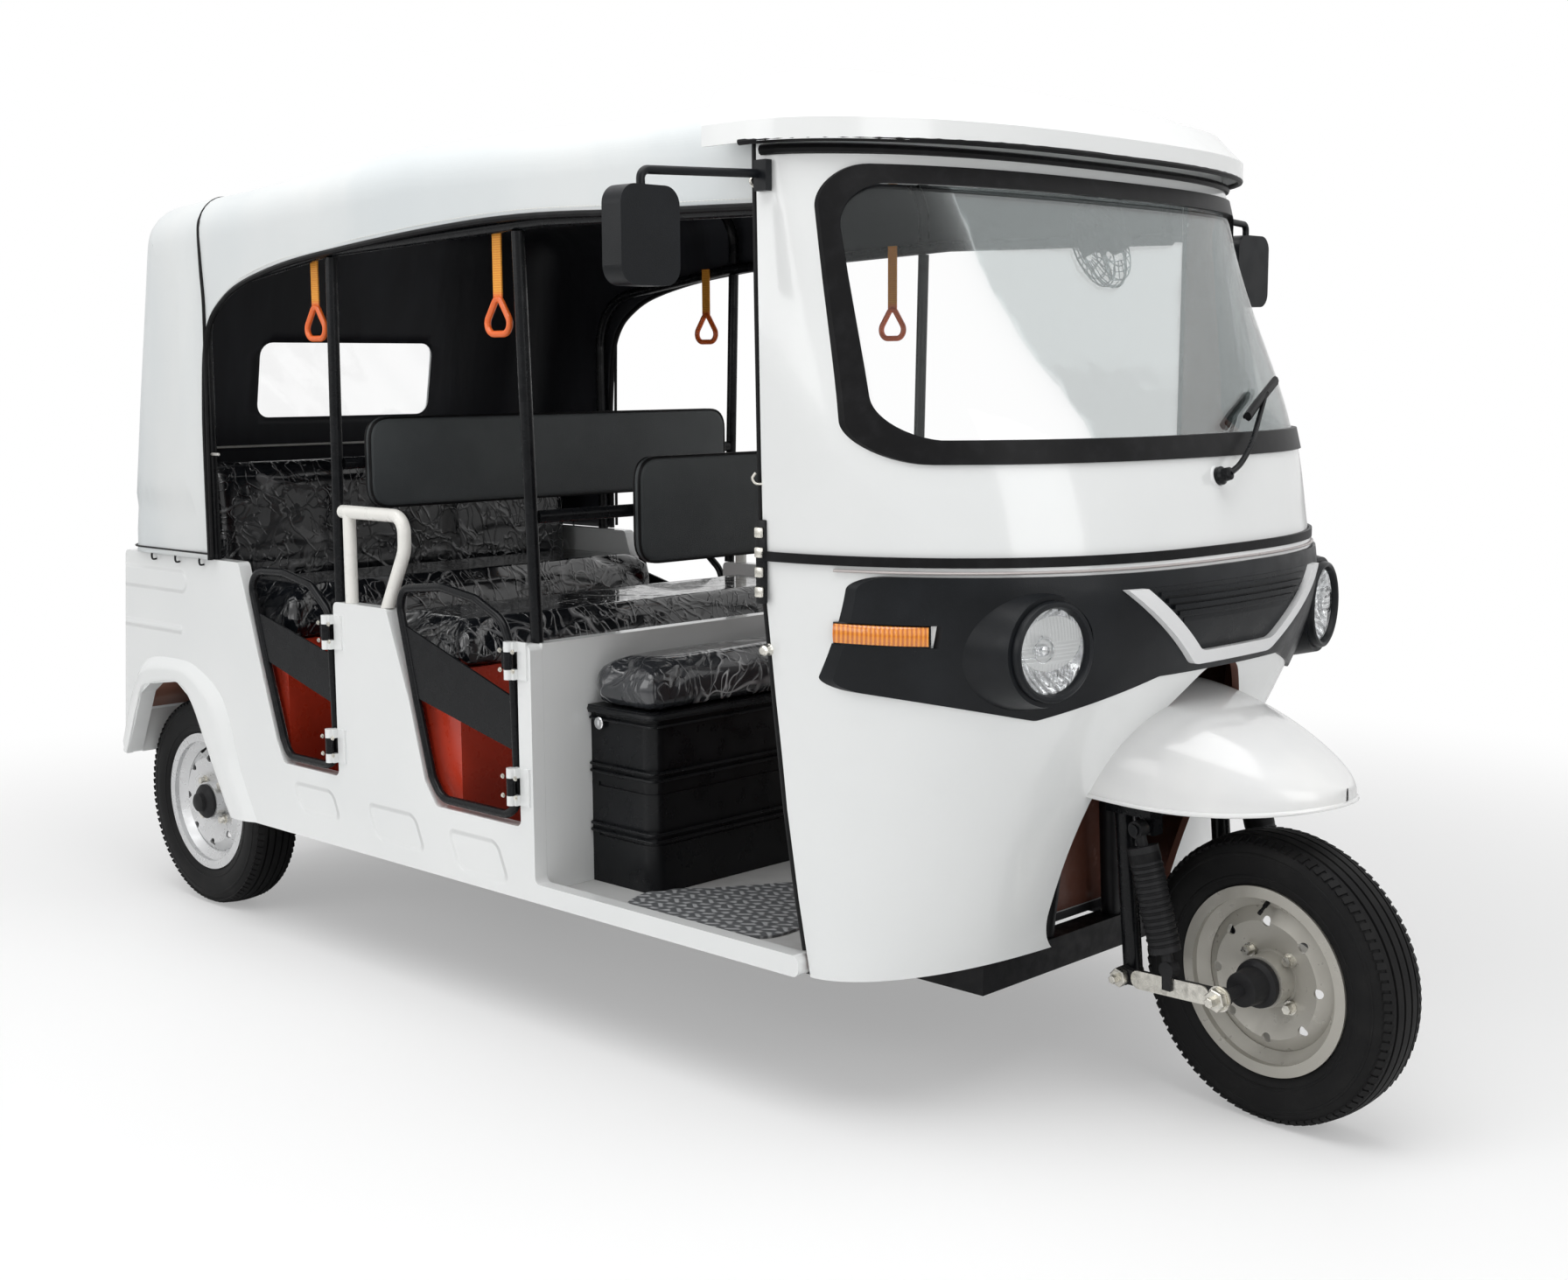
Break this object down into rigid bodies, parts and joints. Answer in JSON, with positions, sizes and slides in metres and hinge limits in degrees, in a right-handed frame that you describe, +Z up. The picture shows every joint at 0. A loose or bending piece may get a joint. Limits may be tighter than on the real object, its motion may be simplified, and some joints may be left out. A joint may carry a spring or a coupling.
{
  "type": "auto rickshaw",
  "caption": "Three-wheeled passenger rickshaw with a glazed front cowl, forward-facing benches, low side doors, a fabric canopy and a leading-link front fork.",
  "frame": {"origin": "on the ground and on the centre plane, under the middle of the overall length", "axes": "+X forward, +Y to the vehicle's left, +Z up"},
  "size_m": [3.1539, 1.884, 1.776],
  "materials": {
    "white_body": "gloss white paint",
    "white_shell": "gloss white moulding",
    "canopy_cloth": "white coated fabric, black inside",
    "black_frame": "black enamel",
    "chassis_black": "semi gloss black",
    "glass": "clear",
    "rubber_trim": "matt black",
    "black_plastic": "satin black",
    "silver_trim": "silver",
    "lamp_glass": "clear and amber lenses",
    "lining_brown": "red brown primer",
    "red_panel": "gloss red paint",
    "seat_vinyl": "black vinyl under clear film",
    "backrest_grey": "dark grey vinyl",
    "white_tube": "white coated tube",
    "orange_plastic": "orange",
    "battery_case": "plain block",
    "axle_steel": "dark",
    "spring_steel": "black",
    "lamp_red": "red lens",
    "tyre": "black rubber",
    "front_rim_steel": "grey beige enamel",
    "rear_rim_steel": "silver",
    "mirror_black": "black"
  },
  "bodies": {
    "body": {"chassis_frame": "chassis_black", "floor_pan": "chassis_black", "side_right": "white_body", "side_left": "white_body", "rear_panel": "white_body", "bulkhead": "lining_brown", "dashboard": "black_plastic", "partition": "white_body", "cowl_lower": "white_shell", "cowl_upper": "white_shell", "windscreen": "glass", "body_edging": "rubber_trim", "front_mask": "black_plastic", "grille": "black_plastic", "grille_trim": "silver_trim", "front_lamps": "lamp_glass", "mudguard": "white_shell", "roof_cap": "white_shell", "canopy": "canopy_cloth", "side_rails": "black_frame", "posts": "black_frame", "roof_bows": "black_frame", "grab_handles": "white_tube", "hand_rings": "orange_plastic", "mirrors": "mirror_black", "driver_box": "black_plastic", "driver_cushion": "seat_vinyl", "driver_backrest": "backrest_grey", "battery_pack": "battery_case", "benches": "red_panel", "bench_cushions": "seat_vinyl", "bench_backrests": "backrest_grey", "rear_axle": "axle_steel", "leaf_springs": "spring_steel", "rear_lamps": "lamp_red"},
    "steering": {"fork": "black_frame", "front_suspension": "spring_steel", "handlebar": "black_frame"},
    "front_wheel": {"front_tyre": "tyre", "front_rim": "front_rim_steel"},
    "right_wheel": {"right_tyre": "tyre", "right_rim": "rear_rim_steel"},
    "left_wheel": {"left_tyre": "tyre", "left_rim": "rear_rim_steel"},
    "door_fore_right": {"fore_door_right": "black_frame"},
    "door_aft_right": {"aft_door_right": "black_frame"},
    "door_fore_left": {"fore_door_left": "black_frame"},
    "door_aft_left": {"aft_door_left": "black_frame"}
  },
  "joints": [
    {"name": "steering_turn", "type": "hinge", "parent": "body", "child": "steering", "pos_m": [1.3875, 0, 0], "axis": [-0.4226, 0, 0.9063], "range_deg": [-33, 47]},
    {"name": "front_wheel_roll", "type": "hinge", "parent": "steering", "child": "front_wheel", "pos_m": [1.32217, -0.00595, 0.25485], "axis": [0.1105, 0.9925, 0.0515], "continuous": true},
    {"name": "right_wheel_roll", "type": "hinge", "parent": "body", "child": "right_wheel", "pos_m": [-1.2975, -0.495, 0.255], "axis": [0, 1, 0], "continuous": true},
    {"name": "door_fore_right_swing", "type": "hinge", "parent": "body", "child": "door_fore_right", "pos_m": [-0.0075, -0.615, 0.64], "axis": [0, 0, 1], "range_deg": [0, 100]},
    {"name": "door_aft_right_swing", "type": "hinge", "parent": "body", "child": "door_aft_right", "pos_m": [-0.6355, -0.615, 0.64], "axis": [0, 0, 1], "range_deg": [0, 100]},
    {"name": "left_wheel_roll", "type": "hinge", "parent": "body", "child": "left_wheel", "pos_m": [-1.2975, 0.495, 0.255], "axis": [0, 1, 0], "continuous": true},
    {"name": "door_fore_left_swing", "type": "hinge", "parent": "body", "child": "door_fore_left", "pos_m": [-0.0075, 0.615, 0.64], "axis": [0, 0, -1], "range_deg": [0, 100]},
    {"name": "door_aft_left_swing", "type": "hinge", "parent": "body", "child": "door_aft_left", "pos_m": [-0.6355, 0.615, 0.64], "axis": [0, 0, -1], "range_deg": [0, 100]}
  ]
}
